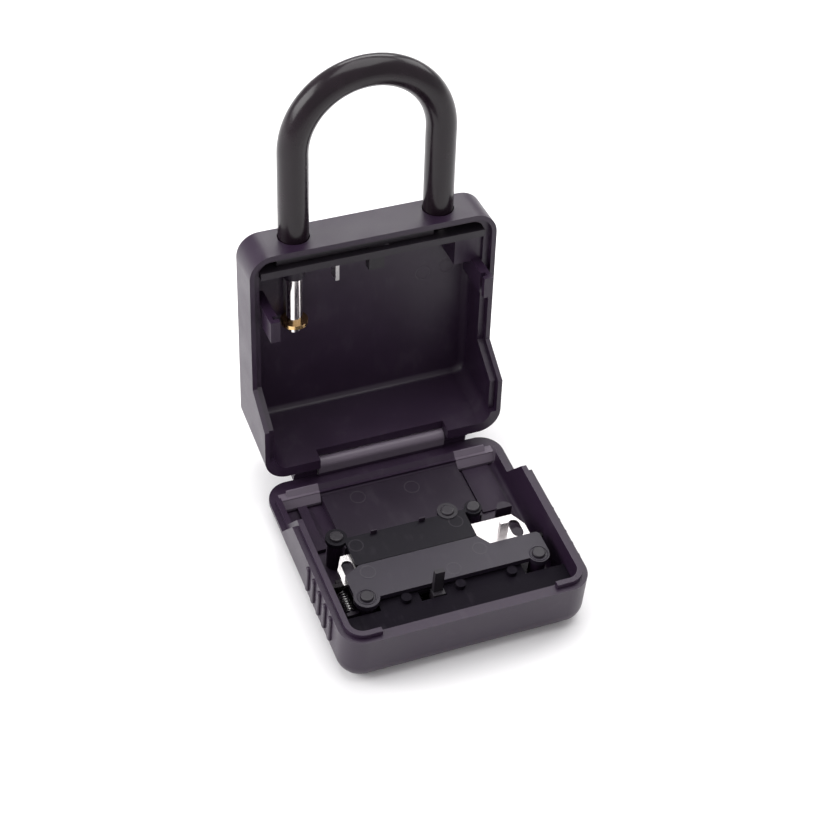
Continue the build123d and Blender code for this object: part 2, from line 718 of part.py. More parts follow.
def latch_plate():
    """The steel plate whose two noses slide under the housing's hooks."""
    back, front = from_hinge(LATCH_BACK), from_hinge(LATCH_FRONT)
    nose_back = front + LATCH_NOSE_LENGTH
    chamfer_y = (back + nose_back) / 2
    corner = LATCH_EAR_X - LATCH_CORNER
    outline = []
    for side in (1, -1):
        half = [
            (side * LATCH_NOSE_X, front),
            (side * LATCH_NOSE_X, nose_back),
            (side * LATCH_EAR_X, nose_back),
            (side * LATCH_EAR_X, chamfer_y),
            (side * corner, back),
        ]
        outline += half if side == 1 else half[::-1]
    shape = plate(outline, LATCH_UNDERSIDE, LATCH_TOP)
    lug_half = LATCH_LUG_WIDTH / 2
    lug_y = from_hinge(LATCH_LUG_LINE)
    lug_back = lug_y + LATCH_THICKNESS
    shape += box(-lug_half, lug_half, back - OVER, lug_back, LATCH_UNDERSIDE, LATCH_TOP)
    shape += box(-lug_half, lug_half, lug_y, lug_back, COVER_FLOOR + OPENER_STRAP_GAP, LATCH_TOP)
    tab_y = from_hinge(LATCH_TAB_LINE)
    shape += box(LATCH_TAB_X, LATCH_TAB_X - LATCH_TAB_WIDTH, tab_y, tab_y + LATCH_THICKNESS,
                 LATCH_UNDERSIDE, LATCH_TOP + LATCH_TAB_HEIGHT)
    seat_y = from_hinge(SPRING_FRONT - SPRING_LENGTH)
    half = SPRING_RADIUS + SPRING_WIRE
    shape += box(SPRING_X - half, SPRING_X + SPRING_TAB_REACH, seat_y, seat_y + LATCH_THICKNESS,
                 SPRING_HEIGHT - half, LATCH_TOP)
    slot_half = GUIDE_POST_RADIUS + GUIDE_SLOT_CLEARANCE
    slot_front = from_hinge(guide_slot_front()) + slot_half
    slot_back = slot_front + LATCH_TRAVEL
    for side in (-1, 1):
        x = side * GUIDE_POST_X
        shape -= post(x, slot_front, LATCH_UNDERSIDE - OVER, LATCH_TOP + OVER, slot_half)
        shape -= post(x, slot_back, LATCH_UNDERSIDE - OVER, LATCH_TOP + OVER, slot_half)
        shape -= box(x - slot_half, x + slot_half, slot_front, slot_back,
                     LATCH_UNDERSIDE - OVER, LATCH_TOP + OVER)
    return one(shape)


def opener_slide():
    """The opener's ribbed button with the strap that the latch plate's lug passes through."""
    half = OPENER_WIDTH / 2
    back = from_hinge(OPENER_START)
    front = back - OPENER_LENGTH
    strap_low = COVER_FLOOR + OPENER_STRAP_GAP
    strap_high = strap_low + OPENER_STRAP_THICKNESS
    button = box(-half, half, back, front, OPENER_RECESS, strap_high)
    pitch = OPENER_LENGTH / (OPENER_RIBS + 1)
    for index in range(OPENER_RIBS):
        y = back - pitch * (index + 1)
        groove = pitch / 4
        button -= box(-half - OVER, half + OVER, y - groove, y + groove,
                      0, OPENER_RECESS + OPENER_RIB_DEPTH)
    lug_front = from_hinge(LATCH_LUG_LINE)
    strap_front = lug_front - LATCH_THICKNESS
    button += box(-half, half, back, strap_front, strap_low, strap_high)
    slot = LATCH_LUG_WIDTH / 2 + SLIDE_CLEARANCE
    button -= box(-slot, slot, lug_front, lug_front + LATCH_THICKNESS, strap_low - OVER, strap_high + OVER)
    return one(button)


def dial(index):
    """A numbered dial with ten flats' worth of grip grooves and a key notch."""
    x = dial_centre(index)
    y = from_hinge(DIAL_LINE)
    half = DIAL_WIDTH / 2
    wheel = rod_x(x - half, x + half, y, DIAL_Z, DIAL_RADIUS)
    wheel -= rod_x(x - half - OVER, x + half + OVER, y, DIAL_Z, RING_HUB_RADIUS + DIAL_BORE_CLEARANCE)
    for step in range(DIAL_FACETS):
        angle = 2 * math.pi * step / DIAL_FACETS
        groove_y = y + DIAL_RADIUS * math.cos(angle)
        groove_z = DIAL_Z + DIAL_RADIUS * math.sin(angle)
        wheel -= rod_x(x - half - OVER, x + half + OVER, groove_y, groove_z, DIAL_GROOVE)
    key = RING_KEY_SIZE + DIAL_BORE_CLEARANCE * 2
    key_low = DIAL_Z + RING_HUB_RADIUS - OVER
    wheel -= box(x - half - OVER, x - half + key, y - key / 2, y + key / 2,
                 key_low, DIAL_Z + RING_FLANGE_RADIUS)
    return one(wheel)


def code_ring(index):
    """The sleeve inside a dial, with its flange and its key."""
    x = dial_centre(index)
    y = from_hinge(DIAL_LINE)
    half = DIAL_WIDTH / 2
    flange_x = x - half - RING_FLANGE_GAP
    ring = rod_x(flange_x, x + half, y, DIAL_Z, RING_HUB_RADIUS)
    ring += rod_x(flange_x - RING_FLANGE_THICKNESS, flange_x, y, DIAL_Z, RING_FLANGE_RADIUS)
    key_low = DIAL_Z + RING_HUB_RADIUS - OVER
    key_top = DIAL_Z + RING_FLANGE_RADIUS - DIAL_BORE_CLEARANCE * 2
    key = RING_KEY_SIZE
    ring += box(flange_x - OVER / 2, flange_x + key, y - key / 2, y + key / 2, key_low, key_top)
    gate = RING_FLANGE_RADIUS - RING_HUB_RADIUS
    ring -= box(flange_x - OVER * 2, flange_x, y - gate / 2, y + gate / 2,
                DIAL_Z - RING_FLANGE_RADIUS - OVER, DIAL_Z - RING_HUB_RADIUS)
    ring -= rod_x(flange_x - OVER * 2, x + half + OVER, y, DIAL_Z, AXLE_RADIUS + AXLE_CLEARANCE)
    return one(ring)


def dial_axle():
    end = axle_block_near() + AXLE_BLOCK_THICKNESS
    return one(rod_x(-end, end, from_hinge(DIAL_LINE), DIAL_Z, AXLE_RADIUS))


def detent_spring():
    """The comb of leaf springs beside the dials."""
    y = from_hinge(DIAL_LINE) - DIAL_RADIUS - DETENT_GAP
    end = dial_span()
    foot = box(-end, end, y - DETENT_THICKNESS - DETENT_FOOT, y, COVER_FLOOR, COVER_FLOOR + DETENT_THICKNESS)
    comb = foot
    for index in range(DIAL_COUNT):
        x = dial_centre(index)
        half = DIAL_WIDTH / 3
        comb += box(x - half, x + half, y - DETENT_THICKNESS, y, COVER_FLOOR, COVER_FLOOR + DETENT_HEIGHT)
    return one(comb)


def reset_lever():
    """The upright tab on a foot that rides on the rail."""
    back = from_hinge(LEVER_LINE)
    front = back - LEVER_FOOT_LENGTH
    half = LEVER_FOOT_WIDTH / 2
    lever = box(LEVER_X - half, LEVER_X + half, back, front, LEVER_FOOT_BOTTOM, LEVER_FOOT_TOP)
    tab = LEVER_WIDTH / 2
    lever += box(LEVER_X - tab, LEVER_X + tab, back, back - LEVER_THICKNESS,
                 LEVER_FOOT_TOP - OVER, LEVER_TOP)
    rail_y = (back + front) / 2
    groove = RAIL_WIDTH / 2 + RAIL_CLEARANCE
    groove_top = COVER_FLOOR + RAIL_HEIGHT + RAIL_CLEARANCE
    lever -= box(LEVER_X - half - OVER, LEVER_X + half + OVER, rail_y - groove, rail_y + groove,
                 LEVER_FOOT_BOTTOM - OVER, groove_top)
    return one(lever)


def joined_arcs(start, start_way, end, end_way):
    """Two arcs that join two points and leave and arrive in the given directions."""
    reach = end - start
    ways = start_way + end_way
    turn = 2 * (1 - start_way.dot(end_way))
    length = (math.sqrt(reach.dot(ways)**2 + turn * reach.dot(reach)) - reach.dot(ways)) / turn
    middle = (start + end + (start_way - end_way) * length) / 2
    first = TangentArc(start, middle, tangent=start_way)
    second = TangentArc(middle, end, tangent=first % 1)
    return [first, second]


def coil_point(half_turns, start_y, pitch):
    """A place on the coil's middle line and the direction there."""
    angle = math.pi * (half_turns + 1)
    x = SPRING_X + SPRING_RADIUS * math.cos(angle)
    z = SPRING_HEIGHT + SPRING_RADIUS * math.sin(angle)
    rise = pitch / (2 * math.pi * SPRING_RADIUS)
    way = Vector(-math.sin(angle), rise, math.cos(angle)).normalized()
    return Vector(x, start_y + pitch * half_turns / 2, z), way


def least_gap(path, wire):
    """The least gap between two stretches of a bent wire, measured on points along it."""
    step = path.length / PATH_SAMPLES
    skip = int(2 * math.pi * wire / step)
    points = [path @ (index / PATH_SAMPLES) for index in range(PATH_SAMPLES + 1)]
    gaps = [(points[near] - points[far]).length
            for near in range(len(points)) for far in range(near + skip, len(points))]
    return min(gaps) - wire


def latch_spring():
    """A coil spring along Y: one tube of half-turn pairs of arcs, with straight ends."""
    along = Vector(0, 1, 0)
    bend = SPRING_END_BEND
    straight = SPRING_WIRE
    pitch = (SPRING_LENGTH - 2 * (bend + straight)) / SPRING_TURNS
    coil_start = from_hinge(SPRING_FRONT) + bend + straight
    last = 2 * SPRING_TURNS
    first_point, first_way = coil_point(0, coil_start, pitch)
    last_point, last_way = coil_point(last, coil_start, pitch)
    foot = first_point - Vector(first_way.X, 0, first_way.Z).normalized() * bend - along * bend
    head = last_point + Vector(last_way.X, 0, last_way.Z).normalized() * bend + along * bend
    edges = [Line(foot - along * straight, foot)]
    edges += joined_arcs(foot, along, first_point, first_way)
    for half_turns in range(last):
        here, way = coil_point(half_turns, coil_start, pitch)
        there, next_way = coil_point(half_turns + 1, coil_start, pitch)
        edges += joined_arcs(here, way, there, next_way)
    edges += joined_arcs(last_point, last_way, head, along)
    edges.append(Line(head, head + along * straight))
    path = Wire(edges)
    gap = least_gap(path, SPRING_WIRE)
    print(f"latch spring: pitch {pitch:.2f} mm, least gap to itself {gap:.2f} mm")
    if gap < LEAST_WIRE_GAP:
        raise ValueError("the latch spring's turns lie too close together")
    section = Plane(origin=path @ 0, z_dir=path % 0) * Circle(SPRING_WIRE / 2)
    return one(sweep(section, path=path))


def hinge_pin():
    return one(rod_x(-KNUCKLE_END, KNUCKLE_END, AXIS_Y, HINGE_HEIGHT, HINGE_PIN_RADIUS))


# Housing, drawn closed


def housing_shell():
    """The housing's deep shell with its stepped rim."""
    block = case_block(0, 0, CASE_DEPTH, True)
    block = fillet(edge_loop(block, CASE_DEPTH), BACK_EDGE_ROUND)
    cavity = case_block(WALL, -OVER, BACK_INNER, True)
    cavity = fillet(edge_loop(cavity, BACK_INNER), INNER_ROUND)
    block = block - cavity - below_rim(SEAM_GAP)
    step = case_block(WALL - TONGUE_THICKNESS - TONGUE_CLEARANCE, -OVER, CASE_DEPTH, False)
    step -= above_rim(SEAM_GAP + TONGUE_HEIGHT + TONGUE_CLEARANCE)
    ledge_y = from_hinge(LEDGE_LENGTH) + TONGUE_CLEARANCE
    step -= box(-CASE_WIDTH, CASE_WIDTH, ledge_y, CASE_LENGTH, -OVER * 2, CASE_DEPTH)
    return block - step


def housing_knuckles():
    """The two outer knuckles, joined to the slanted bottom wall."""
    pieces = []
    near = KNUCKLE_HALF + KNUCKLE_GAP
    for side in (-1, 1):
        barrel = rod_x(side * near, side * KNUCKLE_END, AXIS_Y, HINGE_HEIGHT, KNUCKLE_RADIUS)
        outline = (
            (AXIS_Y + KNUCKLE_RADIUS, HINGE_HEIGHT),
            (HINGE_Y - WALL / 2, HINGE_HEIGHT + 3 * KNUCKLE_RADIUS),
            (HINGE_Y - WALL / 2, HINGE_HEIGHT),
        )
        gusset = side_profile(outline, (KNUCKLE_END - near) / 2)
        gusset = Pos(side * (KNUCKLE_END + near) / 2, 0, 0) * gusset
        pieces.append(barrel + gusset)
    return pieces


def knuckle_room():
    """The notch through the housing's bottom wall for the cover's knuckle and web."""
    half = KNUCKLE_HALF + KNUCKLE_GAP
    barrel = rod_x(-half, half, AXIS_Y, HINGE_HEIGHT, KNUCKLE_RADIUS + TONGUE_CLEARANCE)
    inner_face = HINGE_Y - WALL - BOTTOM_SLANT
    return barrel + box(-half, half, inner_face, AXIS_Y, 0, HINGE_HEIGHT + TONGUE_CLEARANCE)


def stop_lugs():
    """Lugs that meet the cover's hinge wall when the safe is fully open, drawn open."""
    lugs = []
    near = KNUCKLE_HALF + KNUCKLE_GAP
    back = HINGE_Y + PIN_CLEARANCE
    for side in (-1, 1):
        lugs.append(box(side * near, side * KNUCKLE_END, back, back + STOP_LUG_THICKNESS,
                        HINGE_HEIGHT - STOP_LUG_DEPTH, HINGE_HEIGHT))
    return lugs


def hooks():
    """The catch hooks that reach down into the cover on both sides."""
    start = from_hinge(HOOK_START)
    end = start - HOOK_LENGTH
    notch_low = LATCH_UNDERSIDE - HOOK_NOTCH_GAP
    notch_high = LATCH_TOP + HOOK_NOTCH_GAP
    low = notch_low - HOOK_LIP
    base_low = RIM_HIGH + SEAM_GAP + TONGUE_HEIGHT + TONGUE_CLEARANCE
    base_high = base_low + HOOK_BASE_HEIGHT
    pieces = []
    for side in (-1, 1):
        hook = box(side * HOOK_INNER, side * HOOK_OUTER, end, start, low, base_high)
        hook += box(side * HOOK_INNER, side * (INNER_X + OVER), end, start, base_low, base_high)
        web = side * (HOOK_OUTER - HOOK_WEB)
        hook -= box(side * (HOOK_INNER - OVER), web, end - OVER, start + OVER, notch_low, notch_high)
        pieces.append(hook)
    return pieces


def shackle_holes():
    """Holes through the top wall, and the channel for the long leg behind it."""
    cuts = []
    hole = SLEEVE_RADIUS + SHACKLE_HOLE_CLEARANCE
    for side in (-1, 1):
        x = side * SHACKLE_HALF_SPAN
        cuts.append(rod_y(x, -HINGE_Y - OVER, TOP_INNER_Y + OVER, SHACKLE_DEPTH_PLACE, hole))
    channel = RING_RADIUS + SHACKLE_HOLE_CLEARANCE
    reach = TOP_INNER_Y + LEG_PIN_REACH + OVER
    cuts.append(rod_y(-SHACKLE_HALF_SPAN, TOP_INNER_Y, reach, SHACKLE_DEPTH_PLACE, channel))
    return cuts


def lock_plate_top():
    """Y of the lock plate's face towards the top wall."""
    return TOP_INNER_Y + SLIDE_THICKNESS + 2 * SLIDE_GAP


def corner_box():
    """The moulded box in the top right corner."""
    top = lock_plate_top() + LOCK_PLATE_THICKNESS
    return box(INNER_X - CORNER_BOX_WIDTH, INNER_X + OVER, top, top + CORNER_BOX_LENGTH,
               BACK_INNER - CORNER_BOX_DEPTH, BACK_INNER + OVER)


def rear_housing():
    housing = housing_shell()
    for piece in (*housing_knuckles(), *hooks(), corner_box()):
        housing += piece
    housing -= knuckle_room()
    for cut in shackle_holes():
        housing -= cut
    bore = HINGE_PIN_RADIUS + PIN_CLEARANCE
    housing = tilt(housing)
    for lug in stop_lugs():
        housing += lug
    housing -= rod_x(-CASE_WIDTH, CASE_WIDTH, AXIS_Y, HINGE_HEIGHT, bore)
    return one(housing)


def lock_plate():
    """The plate across the housing that closes the shackle lock."""
    top = lock_plate_top()
    bottom = top + LOCK_PLATE_THICKNESS
    half = INNER_X - LOCK_PLATE_CLEARANCE
    back = BACK_INNER - INNER_ROUND
    shape = box(-half, half, top, bottom, back - LOCK_PLATE_DEPTH, back)
    z = SHACKLE_DEPTH_PLACE
    shape -= rod_y(-SHACKLE_HALF_SPAN, top - OVER, bottom + OVER, z, BUSH_SPIGOT_RADIUS)
    shape -= rod_y(SHACKLE_HALF_SPAN, top - OVER, bottom + OVER, z, CORE_RADIUS + SHACKLE_HOLE_CLEARANCE)
    near = THUMB_TAB_PLACE - SLIDE_CLEARANCE
    far = THUMB_TAB_PLACE + THUMB_TAB_WIDTH + SLIDE_TRAVEL + SLIDE_CLEARANCE
    tab_front, tab_back = thumb_tab_depths()
    shape -= box(near, far, top - OVER, bottom + OVER,
                 tab_front - SLIDE_CLEARANCE, tab_back + SLIDE_CLEARANCE)
    return one(tilt(shape))


def thumb_tab_depths():
    """Front and back of the slide's thumb tab."""
    front = slide_front()
    return front, front + THUMB_TAB_DEPTH


def slide_front():
    """The slide's front edge."""
    return SHACKLE_DEPTH_PLACE + LEG_PIN_RADIUS - SLIDE_DEPTH + SLIDE_GAP


def guide_bush():
    """The bush that guides the long leg's pin."""
    top = lock_plate_top()
    bottom = top + LOCK_PLATE_THICKNESS
    z = SHACKLE_DEPTH_PLACE
    bush = rod_y(-SHACKLE_HALF_SPAN, top, bottom, z, BUSH_SPIGOT_RADIUS)
    bush += rod_y(-SHACKLE_HALF_SPAN, bottom, bottom + BUSH_LENGTH, z, BUSH_RADIUS)
    bore = LEG_PIN_RADIUS + AXLE_CLEARANCE
    bush -= rod_y(-SHACKLE_HALF_SPAN, top - OVER, bottom + BUSH_LENGTH + OVER, z, bore)
    return one(tilt(bush))


def lock_slide():
    """The sliding plate that locks the short leg's toe."""
    low = TOP_INNER_Y + SLIDE_GAP
    high = low + SLIDE_THICKNESS
    front = slide_front()
    back = front + SLIDE_DEPTH
    slot = LEG_PIN_RADIUS + SLIDE_CLEARANCE
    pin_x = -SHACKLE_HALF_SPAN
    z = SHACKLE_DEPTH_PLACE
    left = pin_x - SLIDE_TRAVEL - slot - SLIDE_THICKNESS
    tip = SHACKLE_HALF_SPAN - CORE_RADIUS - SLIDE_CLEARANCE
    shape = box(left, tip, low, high, front, back)
    shape -= box(pin_x - SLIDE_TRAVEL, pin_x, low - OVER, high + OVER, z - slot, z + slot)
    for x in (pin_x - SLIDE_TRAVEL, pin_x):
        shape -= rod_y(x, low - OVER, high + OVER, z, slot)
    near = THUMB_TAB_PLACE
    tab_front, tab_back = thumb_tab_depths()
    tab = box(near, near + THUMB_TAB_WIDTH, low, high + THUMB_TAB_LENGTH, tab_front, tab_back)
    return one(tilt(shape + tab))


def slide_leaf():
    """The small bright leaf spring under the lock plate."""
    top = lock_plate_top() + LOCK_PLATE_THICKNESS
    front, _ = thumb_tab_depths()
    half = LEAF_WIDTH / 2
    leaf = box(LEAF_PLACE - half, LEAF_PLACE + half, top, top + LEAF_LENGTH, front, front + LEAF_DEPTH)
    return one(tilt(leaf))


def shackle_path(left_y, right_y):
    """The bent line of the shackle from one leg's end to the other."""
    span = SHACKLE_HALF_SPAN
    bend_y = -HINGE_Y - SHACKLE_STRAIGHT
    z = SHACKLE_DEPTH_PLACE
    left = Line((-span, left_y, z), (-span, bend_y, z))
    arch = ThreePointArc((-span, bend_y, z), (0, bend_y - span, z), (span, bend_y, z))
    right = Line((span, bend_y, z), (span, right_y, z))
    return Wire([left, arch, right])


def bent_rod(left_y, right_y, radius):
    """A round rod along the shackle's line."""
    path = shackle_path(left_y, right_y)
    section = Plane(origin=path @ 0, z_dir=path % 0) * Circle(radius)
    return sweep(section, path=path)


def shackle_core():
    """The steel rod with its long pin and notched toe."""
    sleeve_end = TOP_INNER_Y - SLIDE_CLEARANCE
    toe_end = -HINGE_Y + TOE_REACH
    core = bent_rod(sleeve_end, toe_end, CORE_RADIUS)
    z = SHACKLE_DEPTH_PLACE
    pin_end = TOP_INNER_Y + LEG_PIN_REACH
    core += rod_y(-SHACKLE_HALF_SPAN, sleeve_end - OVER, pin_end - LEG_TIP_LENGTH, z, LEG_PIN_RADIUS)
    core += rod_y(-SHACKLE_HALF_SPAN, sleeve_end - OVER, pin_end, z, LEG_TIP_RADIUS)
    low = TOP_INNER_Y
    high = low + SLIDE_THICKNESS + 2 * SLIDE_GAP
    notch = SHACKLE_HALF_SPAN - CORE_RADIUS + TOE_NOTCH_DEPTH
    core -= box(0, notch + SLIDE_CLEARANCE * 3, low, high, 0, CASE_DEPTH * 2)
    return one(tilt(core))


def shackle_sleeve():
    """The black tube over the shackle."""
    end = TOP_INNER_Y - SLIDE_CLEARANCE
    tube = bent_rod(end, end, SLEEVE_RADIUS)
    bore = bent_rod(end + OVER, end + OVER, CORE_RADIUS + SLEEVE_BORE_CLEARANCE)
    return one(tilt(tube - bore))


def retaining_ring():
    """The ring at the long leg's end that keeps the shackle in the housing."""
    end = TOP_INNER_Y + LEG_PIN_REACH - LEG_TIP_LENGTH
    z = SHACKLE_DEPTH_PLACE
    ring = rod_y(-SHACKLE_HALF_SPAN, end, end + RING_THICKNESS, z, RING_RADIUS)
    bore = LEG_TIP_RADIUS + SLEEVE_BORE_CLEARANCE
    ring -= rod_y(-SHACKLE_HALF_SPAN, end - OVER, end + RING_THICKNESS + OVER, z, bore)
    return one(tilt(ring))


def write(name, shape):
    export_step(shape, f"parts/{name}.step")


os.makedirs("parts", exist_ok=True)
write("front_cover", front_cover())
write("plate_posts", plate_posts())
write("guide_posts", guide_posts())
write("floor_posts", floor_posts())
write("floor_ribs", floor_ribs())
write("front_deck", front_deck())
write("axle_blocks", axle_blocks())
write("lever_rail", lever_rail())
write("spring_seat", spring_seat())
write("guard_panel", guard_panel())
write("mechanism_plate", mechanism_plate())
write("retainer_bar", retainer_bar())
write("bar_rivets", rivets(BAR_PINS, BAR_TOP))
write("plate_rivets", rivets(PLATE_PINS, PLATE_TOP))
write("latch_plate", latch_plate())
write("opener_slide", opener_slide())
for number in range(DIAL_COUNT):
    write(f"dial_{number + 1}", dial(number))
    write(f"code_ring_{number + 1}", code_ring(number))
write("dial_axle", dial_axle())
write("dial_detent_spring", detent_spring())
write("reset_lever", reset_lever())
write("latch_spring", latch_spring())
write("hinge_pin", hinge_pin())
write("rear_housing", rear_housing())
write("lock_plate", lock_plate())
write("guide_bush", guide_bush())
write("shackle_lock_slide", lock_slide())
write("slide_leaf_spring", slide_leaf())
write("shackle_core", shackle_core())
write("shackle_sleeve", shackle_sleeve())
write("retaining_ring", retaining_ring())
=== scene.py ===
"""Padlock key safe lying open: finishes, small fittings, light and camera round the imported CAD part."""

import json
import logging
import math
from dataclasses import dataclass, field
from enum import Enum
from functools import reduce
from typing import Any, Union

import bpy
from mathutils import Matrix, Vector


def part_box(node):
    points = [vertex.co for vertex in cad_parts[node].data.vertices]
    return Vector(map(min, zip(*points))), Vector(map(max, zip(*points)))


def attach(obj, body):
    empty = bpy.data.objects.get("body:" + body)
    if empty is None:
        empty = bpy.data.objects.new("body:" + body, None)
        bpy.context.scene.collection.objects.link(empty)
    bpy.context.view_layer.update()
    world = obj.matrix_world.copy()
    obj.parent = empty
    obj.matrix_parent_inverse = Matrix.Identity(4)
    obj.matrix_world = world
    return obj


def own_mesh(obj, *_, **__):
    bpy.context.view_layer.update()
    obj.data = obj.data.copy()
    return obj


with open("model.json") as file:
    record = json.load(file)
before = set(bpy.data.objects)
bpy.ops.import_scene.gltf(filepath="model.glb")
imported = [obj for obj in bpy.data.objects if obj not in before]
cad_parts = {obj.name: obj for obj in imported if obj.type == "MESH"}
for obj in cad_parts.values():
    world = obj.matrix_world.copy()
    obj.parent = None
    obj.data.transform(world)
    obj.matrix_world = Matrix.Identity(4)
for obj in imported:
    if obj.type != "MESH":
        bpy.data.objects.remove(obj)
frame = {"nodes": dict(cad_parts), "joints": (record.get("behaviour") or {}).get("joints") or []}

MM = 0.001
TURN = 2 * math.pi

# The sockets of a Mix node that mixes colours
MIX_FIRST = 6
MIX_SECOND = 7
MIX_RESULT = 2

# How every finish varies over a surface
NOISE_MIDDLE = 0.5
GRAIN_LAYERS = 4.0
PATCH_LAYERS = 2.0
SCUFF_LAYERS = 5.0
SCUFF_SIZE = 6
SCUFF_STRETCH = (1.0, 0.25, 1.0)
BRUSHED_STRETCH = (0.06, 1.0, 1.0)
EVEN_STRETCH = (1.0, 1.0, 1.0)
GRAIN_HEIGHT = 0.8
SCUFF_HEIGHT = 0.2
WEAR_START = 0.30
WEAR_GAIN = 9.0
PATCH_START = 0.35
PATCH_SHARE = 0.8
TINT_LOW = 0.6
TINT_GAIN = 1.2
PATCH_ROUGHNESS = 0.16
GRAIN_ROUGHNESS = 0.12
WORN_ROUGHNESS = 0.1
COAT_ROUGHNESS = 0.06

# The round lines that ejector pins leave
MARK_HALF_WIDTH = 0.28
MARK_DEPTH = 2.2
MARK_WEAR = 0.55

# The tones of the latch's shaded ends and of the painted sheen on the cover's hinge knuckle and ledge
SHADED_TONE = (0.02, 0.018, 0.02)
SHADED_FADE = 0.3
KNUCKLE_SHEEN_TINT = (1.0, 0.82, 1.06)

Colour = tuple[float, float, float]
Place = tuple[float, float, float]
Spot = tuple[float, float]
Edge = tuple[float, float]

log = logging.getLogger("key_safe")


class Grain(Enum):
    """The fine relief that a finish has."""

    ORANGE_PEEL = "orange peel"
    MOULDED = "moulded"
    BRUSHED = "brushed"
    POLISHED = "polished"


class Layout(Enum):
    """Whether a mark is measured on the part as it lies or on the housing turned closed."""

    LYING = "lying"
    CLOSED = "closed"


def deselect_all() -> None:
    """Leave edit mode and select nothing."""
    if bpy.context.object and bpy.context.object.mode != "OBJECT":
        bpy.ops.object.mode_set(mode="OBJECT")
    bpy.ops.object.select_all(action="DESELECT")


def joint(name: str) -> dict[str, Any]:
    """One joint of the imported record.

    Args:
        name: The joint's name.

    Returns:
        What the record says of it.
    """
    return next(entry for entry in frame["joints"] if entry["name"] == name)


class Signal:
    """A value that changes over a surface and takes part in sums."""

    def __init__(self, shop: "PaintShop", socket: bpy.types.NodeSocket) -> None:
        """Keep the socket and the shop that adds its sums.

        Args:
            shop: The material's maker.
            socket: The output that carries the value.
        """
        self.shop = shop
        self.socket = socket

    def maths(self, operation: str, first: "Level", second: "Level" = 0.0) -> "Signal":
        """Add one Math node.

        Args:
            operation: The Math node's operation.
            first: Its first value.
            second: Its second value.

        Returns:
            The result.
        """
        return self.shop.node("ShaderNodeMath", {"operation": operation}, {0: first, 1: second})

    def __add__(self, other: "Level") -> "Signal":
        """This plus another value."""
        return self.maths("ADD", self, other)

    def __radd__(self, other: "Level") -> "Signal":
        """Another value plus this."""
        return self.maths("ADD", other, self)

    def __sub__(self, other: "Level") -> "Signal":
        """This minus another value."""
        return self.maths("SUBTRACT", self, other)

    def __rsub__(self, other: "Level") -> "Signal":
        """Another value minus this."""
        return self.maths("SUBTRACT", other, self)

    def __mul__(self, other: "Level") -> "Signal":
        """This times another value."""
        return self.maths("MULTIPLY", self, other)

    def __rmul__(self, other: "Level") -> "Signal":
        """Another value times this."""
        return self.maths("MULTIPLY", other, self)

    def __truediv__(self, other: "Level") -> "Signal":
        """This divided by another value."""
        return self.maths("DIVIDE", self, other)

    def __pow__(self, other: "Level") -> "Signal":
        """This raised to a power."""
        return self.maths("POWER", self, other)

    def __abs__(self) -> "Signal":
        """The size of this, without its sign."""
        return self.maths("ABSOLUTE", self)

    def clamped(self) -> "Signal":
        """This, held between 0 and 1."""
        return self.shop.node("ShaderNodeClamp", {}, {"Value": self})

    def highest(self, other: "Level") -> "Signal":
        """The larger of this and another value."""
        return self.maths("MAXIMUM", self, other)

    def past(self, edge: Edge) -> "Signal":
        """Where this distance is past an edge.

        Args:
            edge: The edge's place and how wide it fades, in millimetres.

        Returns:
            0 before the edge, and 1 past it.
        """
        place, fade = edge
        return ((self - place * MM) / (fade * MM)).clamped()

    def short_of(self, edge: Edge) -> "Signal":
        """Where this distance is short of an edge.

        Args:
            edge: The edge's place and how wide it fades, in millimetres.

        Returns:
            1 before the edge, and 0 past it.
        """
        place, fade = edge
        return ((place * MM - self) / (fade * MM)).clamped()


Level = Union[float, Signal]


